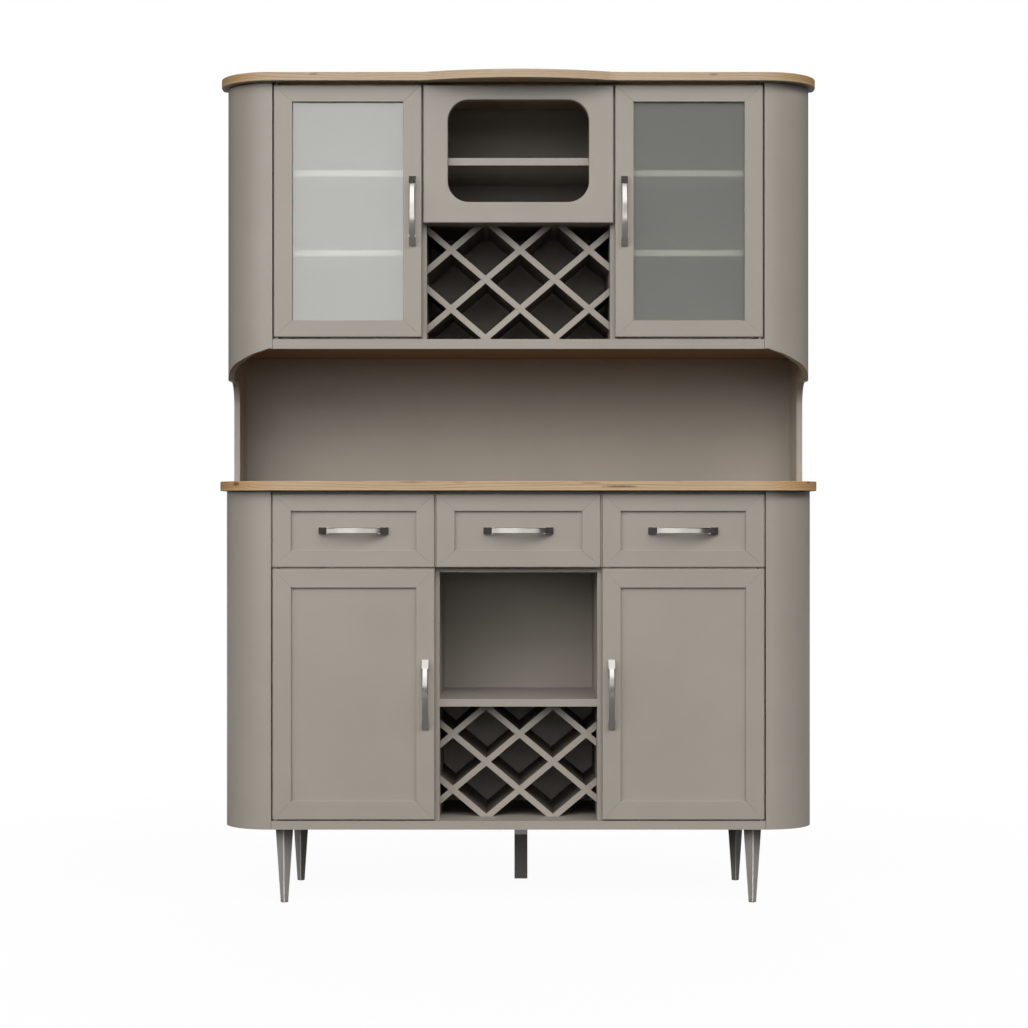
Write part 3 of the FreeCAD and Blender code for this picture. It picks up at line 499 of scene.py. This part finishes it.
# screws that hold the back panels to the rear edges of the uprights and the level boards
backScrew = {
    "radius": 0.0042, "height": 0.0022, "inset": 0.0085, "margin": 0.045, "rows": 5,
    # panel, uprights, level board and the screws along it
    "panels": (
        ("base_back_panel", ("base_sides", "base_dividers"), "base_drawer_decks", (-0.33, -0.06, 0.06, 0.33)),
        ("hutch_back_panel", ("hutch_sides", "hutch_dividers"), "hutch_floor_panel", (-0.4, -0.1, 0.1, 0.4))),
}
mesh = bmesh.new()
for panel, uprights, board, across in backScrew["panels"]:
    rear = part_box(panel)[1].y
    spots = []
    for upright in uprights:
        low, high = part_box(upright)
        for row in range(backScrew["rows"]):
            share = row / (backScrew["rows"] - 1)
            z = low.z + backScrew["margin"] + share * (high.z - low.z - 2 * backScrew["margin"])
            spots += [(side * (high.x - backScrew["inset"]), z) for side in (-1, 1)]
    low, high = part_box(board)
    spots += [(x, (low.z + high.z) / 2) for x in across]
    for x, z in spots:
        turnedHead(mesh, (x, rear, z), (0, 1, 0), backScrew)
newPiece("backScrews", mesh, "screw", "cabinet")

# screws that hold the leg plates up under the floor panel
legSpots = ((0.4773, -0.121), (0.4696, 0.177))
plateScrew = {"radius": 0.0034, "height": 0.0018, "apart": (0.022, 0.018)}
mesh = bmesh.new()
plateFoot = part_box("tapered_legs")[1].z
for x, y in legSpots:
    for side, stepX, stepY in ((a, b, c) for a in (-1, 1) for b in (-1, 1) for c in (-1, 1)):
        spot = (side * x + stepX * plateScrew["apart"][0], y + stepY * plateScrew["apart"][1], plateFoot)
        turnedHead(mesh, spot, (0, 0, -1), plateScrew)
newPiece("legPlateScrews", mesh, "screw", "cabinet")

# squared feet around the glides, turned to stand on edge: height and side of each ring
legFoot = {"rings": ((0.0004, 0.0108), (0.0014, 0.012), (0.008, 0.0125), (0.0084, 0.011)), "arris": 0.001}
mesh = bmesh.new()
for x, y in legSpots:
    for side in (-1, 1):
        rings = []
        for z, width in legFoot["rings"]:
            half, flat = width / 2, width / 2 - legFoot["arris"]
            outline = [(half, -flat), (half, flat), (flat, half), (-flat, half)]
            outline += [(-u, -v) for u, v in outline]
            turned = [((u - v) * math.sqrt(0.5), (u + v) * math.sqrt(0.5)) for u, v in outline]
            rings.append([mesh.verts.new((side * x + u, y + v, z)) for u, v in turned])
        skin(mesh, rings)
newPiece("legFeet", mesh, "leg_metal", "cabinet")

# screws of the pulls, seen inside the doors and drawers, and the buffers that the doors close on
pullScrew = {"radius": 0.0043, "height": 0.0021, "spacing": 0.128, "boxFront": 0.012}
buffer = {"radius": 0.0034, "height": 0.0021, "inset": 0.0045, "margin": 0.03}
for body in doors:
    pullLow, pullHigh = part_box(body + "_pull")
    low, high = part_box(body + "_frame")
    middle = (pullLow + pullHigh) / 2
    mesh = bmesh.new()
    for side in (-1, 1):
        spot = (middle.x, high.y, middle.z + side * pullScrew["spacing"] / 2)
        turnedHead(mesh, spot, (0, 1, 0), pullScrew)
    newPiece(body + "_pullScrews", mesh, "screw", body)
    edge = high.x - buffer["inset"] if body.endswith("left") else low.x + buffer["inset"]
    mesh = bmesh.new()
    for z in (low.z + buffer["margin"], high.z - buffer["margin"]):
        turnedHead(mesh, (edge, high.y, z), (0, 1, 0), buffer, crossed=False)
    newPiece(body + "_buffers", mesh, "glide_nylon", body)
for body in drawers:
    pullLow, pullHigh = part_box(body + "_pull")
    middle = (pullLow + pullHigh) / 2
    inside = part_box(body + "_box")[0].y + pullScrew["boxFront"]
    mesh = bmesh.new()
    for side in (-1, 1):
        spot = (middle.x + side * pullScrew["spacing"] / 2, inside, middle.z)
        turnedHead(mesh, spot, (0, 1, 0), pullScrew)
    newPiece(body + "_pullScrews", mesh, "screw", body)
print("screws and buffers placed")


# draws a profile from start to end, across the run and backwards
def sweep(mesh, start, end, profile):
    along = (end - start).normalized()
    across = Vector((-along.z, 0, along.x))
    skin(mesh, [[mesh.verts.new(spot + across * u + Vector((0, v, 0))) for u, v in profile]
                for spot in (start, end)])


# paint that settled in the mitres, which leaves faint lines: widths of the members, how far the line
# stays off the outer and inner corner, and its profile across and below the face
mitreFill = {
    "stile": 0.0375, "rail": {"base": 0.0376, "hutch": 0.034, "drawer": 0.0345},
    "outer": 0.0032, "inner": 0.0009,
    "profile": ((-0.00056, 0.0004), (-0.00025, 0.0005), (0.00025, 0.0005), (0.00056, 0.0004),
                (0.0003, 0.0012), (-0.0003, 0.0012)),
}
for body in doors + drawers:
    low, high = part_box(body + ("_front" if body in drawers else "_frame"))
    rail = mitreFill["rail"][body.split("_")[0]]
    mesh = bmesh.new()
    for x, inX in ((low.x, mitreFill["stile"]), (high.x, -mitreFill["stile"])):
        for z, inZ in ((low.z, rail), (high.z, -rail)):
            corner, inner = Vector((x, low.y, z)), Vector((x + inX, low.y, z + inZ))
            along = (inner - corner).normalized()
            start, end = corner + along * mitreFill["outer"], inner - along * mitreFill["inner"]
            sweep(mesh, start, end, mitreFill["profile"])
    bmesh.ops.recalc_face_normals(mesh, faces=mesh.faces)
    newPiece(body + "_mitreFill", mesh, "painted_fronts", body)
print("mitres filled")

# stop battens on the carcass edges, set back in the gaps around the base doors and the drawers, painted pale:
# painted light that makes the gaps show lighter
gapBatten = {"clear": 0.0005, "ease": 0.0004, "drawerDepth": 0.005, "endDepth": 0.007, "doorDepth": 0.0125,
             "margin": 0.001, "hingeMargin": 0.0135}


def batten(mesh, start, end, gap, depth):
    half, ease = gap / 2 - gapBatten["clear"], gapBatten["ease"]
    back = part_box("base_sides")[0].y - start.y
    sweep(mesh, start, end, (
        (-half, back), (-half, depth + ease), (ease - half, depth),
        (half - ease, depth), (half, depth + ease), (half, back)))


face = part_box("drawer_left_front")[0].y
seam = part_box("base_sides")[1].x
drawerLow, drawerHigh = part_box("drawer_right_front")
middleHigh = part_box("drawer_middle_front")[1]
doorLow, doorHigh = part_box("base_door_right_frame")
mesh = bmesh.new()
for side in (-1, 1):
    for x0, x1, z0, z1, depth in (
            (middleHigh.x, drawerLow.x, drawerLow.z, drawerHigh.z, gapBatten["drawerDepth"]),
            (drawerHigh.x, seam, drawerLow.z, drawerHigh.z, gapBatten["endDepth"]),
            (doorHigh.x, seam, doorLow.z, doorHigh.z, gapBatten["doorDepth"])):
        x = side * (x0 + x1) / 2
        foot, head = z0 + gapBatten["margin"], z1 - gapBatten["margin"]
        batten(mesh, Vector((x, face, foot)), Vector((x, face, head)), x1 - x0, depth)
    z = (doorHigh.z + drawerLow.z) / 2
    hinge = side * (doorHigh.x - gapBatten["hingeMargin"])
    batten(mesh, Vector((side * doorLow.x, face, z)), Vector((hinge, face, z)),
           drawerLow.z - doorHigh.z, gapBatten["drawerDepth"])
bmesh.ops.recalc_face_normals(mesh, faces=mesh.faces)
newPiece("gapBattens", mesh, "batten", "cabinet")
print("battens set")

# white studio: the backdrop reads white, the room before the camera is dim
studio = {
    "white": (1.0, 1.0, 1.0, 1.0), "backdropGloss": 0.15, "backdropFade": (-0.1, 0.4),
    "floorSize": 60.0, "floorColour": (0.9, 0.9, 0.9, 1.0), "floorInGloss": (0.3, 0.3, 0.3, 1.0),
    "floorRough": 0.9, "floorShine": 0.1, "floorGloss": 0.26, "floorGlossFade": (0.0, 3.0),
    "shadowShare": 0.05, "shadowFade": (0.5, 2.4),
    "camera": (-0.009, -5.071, 0.792), "lens": 84.96, "sensor": 36.0,
}


# rays that see the backdrop itself, and rays that see it in gloss
def shownRays(tree):
    path = put(tree, "ShaderNodeLightPath").outputs
    return sums(tree, "MAXIMUM", path["Is Camera Ray"], path["Is Transmission Ray"]), path["Is Glossy Ray"]


world = bpy.data.worlds.new("whiteStudio")
scene.world = world
world.use_nodes = True
tree = world.node_tree
tree.nodes.clear()
seenRay, glossRay = shownRays(tree)
direction = split(tree, put(tree, "ShaderNodeTexCoord").outputs["Generated"])
backdrop = spread(tree, direction[1], *studio["backdropFade"], 0.0, studio["backdropGloss"])
level = sums(tree, "MAXIMUM", seenRay, sums(tree, "MULTIPLY", glossRay, backdrop))
sky = put(tree, "ShaderNodeBackground", {"Strength": level, "Color": studio["white"]})
put(tree, "ShaderNodeOutputWorld", {"Surface": sky.outputs[0]})

floorMesh = bpy.data.meshes.new("floor")
side = studio["floorSize"] / 2
floorCorners = [(-side, -side, 0), (side, -side, 0), (side, side, 0), (-side, side, 0)]
floorMesh.from_pydata(floorCorners, [], [(0, 1, 2, 3)])
floor = bpy.data.objects.new("floor", floorMesh)
scene.collection.objects.link(floor)
floor.visible_diffuse = False
# the floor turns to plain white away from the object and keeps the shadow close to it
floorFinish, tree, shader = startFinish("whiteFloor")
seenRay, glossRay = shownRays(tree)
feed(tree, shader, {
    "Base Color": blendColours(tree, glossRay, studio["floorColour"], studio["floorInGloss"]),
    "Roughness": studio["floorRough"], "Specular IOR Level": studio["floorShine"]})
place = put(tree, "ShaderNodeNewGeometry").outputs["Position"]
away = vectors(tree, "LENGTH", place, output="Value")
keep = spread(tree, away, *studio["shadowFade"], studio["shadowShare"], 0.0)
far = spread(tree, split(tree, place)[1], *studio["floorGlossFade"], 0.0, studio["floorGloss"])
white = put(tree, "ShaderNodeEmission", {"Color": studio["white"], "Strength": 1.0})
share = sums(tree, "MAXIMUM", sums(tree, "MULTIPLY", seenRay, sums(tree, "SUBTRACT", 1.0, keep)),
             sums(tree, "MULTIPLY", glossRay, far))
mix = put(tree, "ShaderNodeMixShader", {0: share, 1: shader.outputs[0], 2: white.outputs[0]})
output = next(node for node in tree.nodes if node.type == "OUTPUT_MATERIAL")
feed(tree, output, {"Surface": mix.outputs[0]})
floor.data.materials.append(floorFinish)
print("studio ready")


def hangLamp(name, spot, aim, width, height, brightness, inGloss):
    light = bpy.data.lights.new(name, "AREA")
    light.shape = "RECTANGLE"
    light.size = width
    light.size_y = height
    light.energy = brightness * math.pi * width * height
    lamp = bpy.data.objects.new(name, light)
    lamp.location = spot
    lamp.rotation_euler = (Vector(aim) - Vector(spot)).to_track_quat("-Z", "Y").to_euler()
    lamp.visible_camera = False
    lamp.visible_glossy = inGloss
    lamp.visible_diffuse = not inGloss
    scene.collection.objects.link(lamp)
    return lamp


# softboxes and cards that only show in gloss: place, aim, width, height, brightness
softboxes = {
    "leftSoftboxLow": ((-2.3, -8.0, 1.05), (-2.3, 0.0, 1.05), 4.6, 1.5, 1.3),
    "leftSoftboxHigh": ((-2.3, -8.0, 2.9), (-2.3, 0.0, 2.9), 4.6, 2.2, 1.45),
    "rightSoftboxLow": ((2.5, -8.0, 1.05), (2.5, 0.0, 1.05), 5.0, 1.5, 1.0),
    "rightSoftboxHigh": ((2.5, -8.0, 2.9), (2.5, 0.0, 2.9), 5.0, 2.2, 0.65),
    "farLeftSoftbox": ((-7.2, -8.0, 2.15), (-7.2, 0.0, 2.15), 5.2, 3.7, 1.0),
    "upperSoftbox": ((-1.5, -8.0, 7.0), (-1.5, 0.0, 7.0), 6.2, 6.0, 1.8),
    "overheadCard": ((0.0, -1.45, 4.2), (0.0, -1.45, 0.0), 3.0, 1.3, 1.4),
    "glassCard": ((-0.72, -5.05, 2.03), (-0.35, -0.13, 1.4), 0.7, 1.25, 4.7),
    "lowCard": ((0.0, -8.0, 0.9), (0.0, 0.0, 0.9), 9.6, 1.8, 0.24),
}
# flags: the nodes that a lamp is kept to or kept off
basePulls = ("base_door_left_pull", "base_door_right_pull")
flags = {
    "glassCard": (("hutch_door_left_glass",), "INCLUDE"),
    "lowCard": (basePulls, "INCLUDE"),
    "leftSoftboxLow": (basePulls, "EXCLUDE"),
    "rightSoftboxLow": (basePulls, "EXCLUDE"),
}
for name, (spot, aim, width, height, brightness) in softboxes.items():
    lamp = hangLamp(name, spot, aim, width, height, brightness, True)
    if name in flags:
        nodes, state = flags[name]
        group = bpy.data.collections.new(name + "Flag")
        for number, node in enumerate(nodes):
            group.objects.link(cadNodes[node])
            group.collection_objects[number].light_linking.link_state = state
        lamp.light_linking.receiver_collection = group

# soft light panels around the object, out of sight in gloss: each stands on one side of an eight-sided ring;
# turn from the front, lowest and highest degrees above the floor, brightness
panelRing = {
    "radius": 32.0, "sides": 8,
    "panels": (
        (0, 4, 8, 2.1), (0, 8, 19, 1.3), (0, 19, 26, 2.3), (0, 26, 43, 5.0), (0, 43, 54, 2.7),
        (-45, 8, 20, 5.0), (-45, 20, 36, 2.0), (45, 36, 52, 5.8), (90, 8, 40, 1.1), (180, 14, 44, 4.0)),
}
radius = panelRing["radius"]
width = 2 * radius * math.tan(math.pi / panelRing["sides"])
for turn, lowest, highest, brightness in panelRing["panels"]:
    angle = math.radians(turn)
    low, high = (radius * math.tan(math.radians(rise)) for rise in (lowest, highest))
    middle = (low + high) / 2
    spot = (radius * math.sin(angle), -radius * math.cos(angle), middle)
    hangLamp("panel_%d_%d" % (turn, lowest), spot, (0.0, 0.0, middle), width, high - low, brightness, False)
print("lamps:", len(softboxes) + len(panelRing["panels"]))

camera = bpy.data.cameras.new("photoCamera")
camera.sensor_width = studio["sensor"]
camera.lens = studio["lens"]
eye = bpy.data.objects.new("photoCamera", camera)
eye.location = studio["camera"]
eye.rotation_euler = (math.radians(90), 0, 0)  # level, towards the back
scene.collection.objects.link(eye)
scene.camera = eye
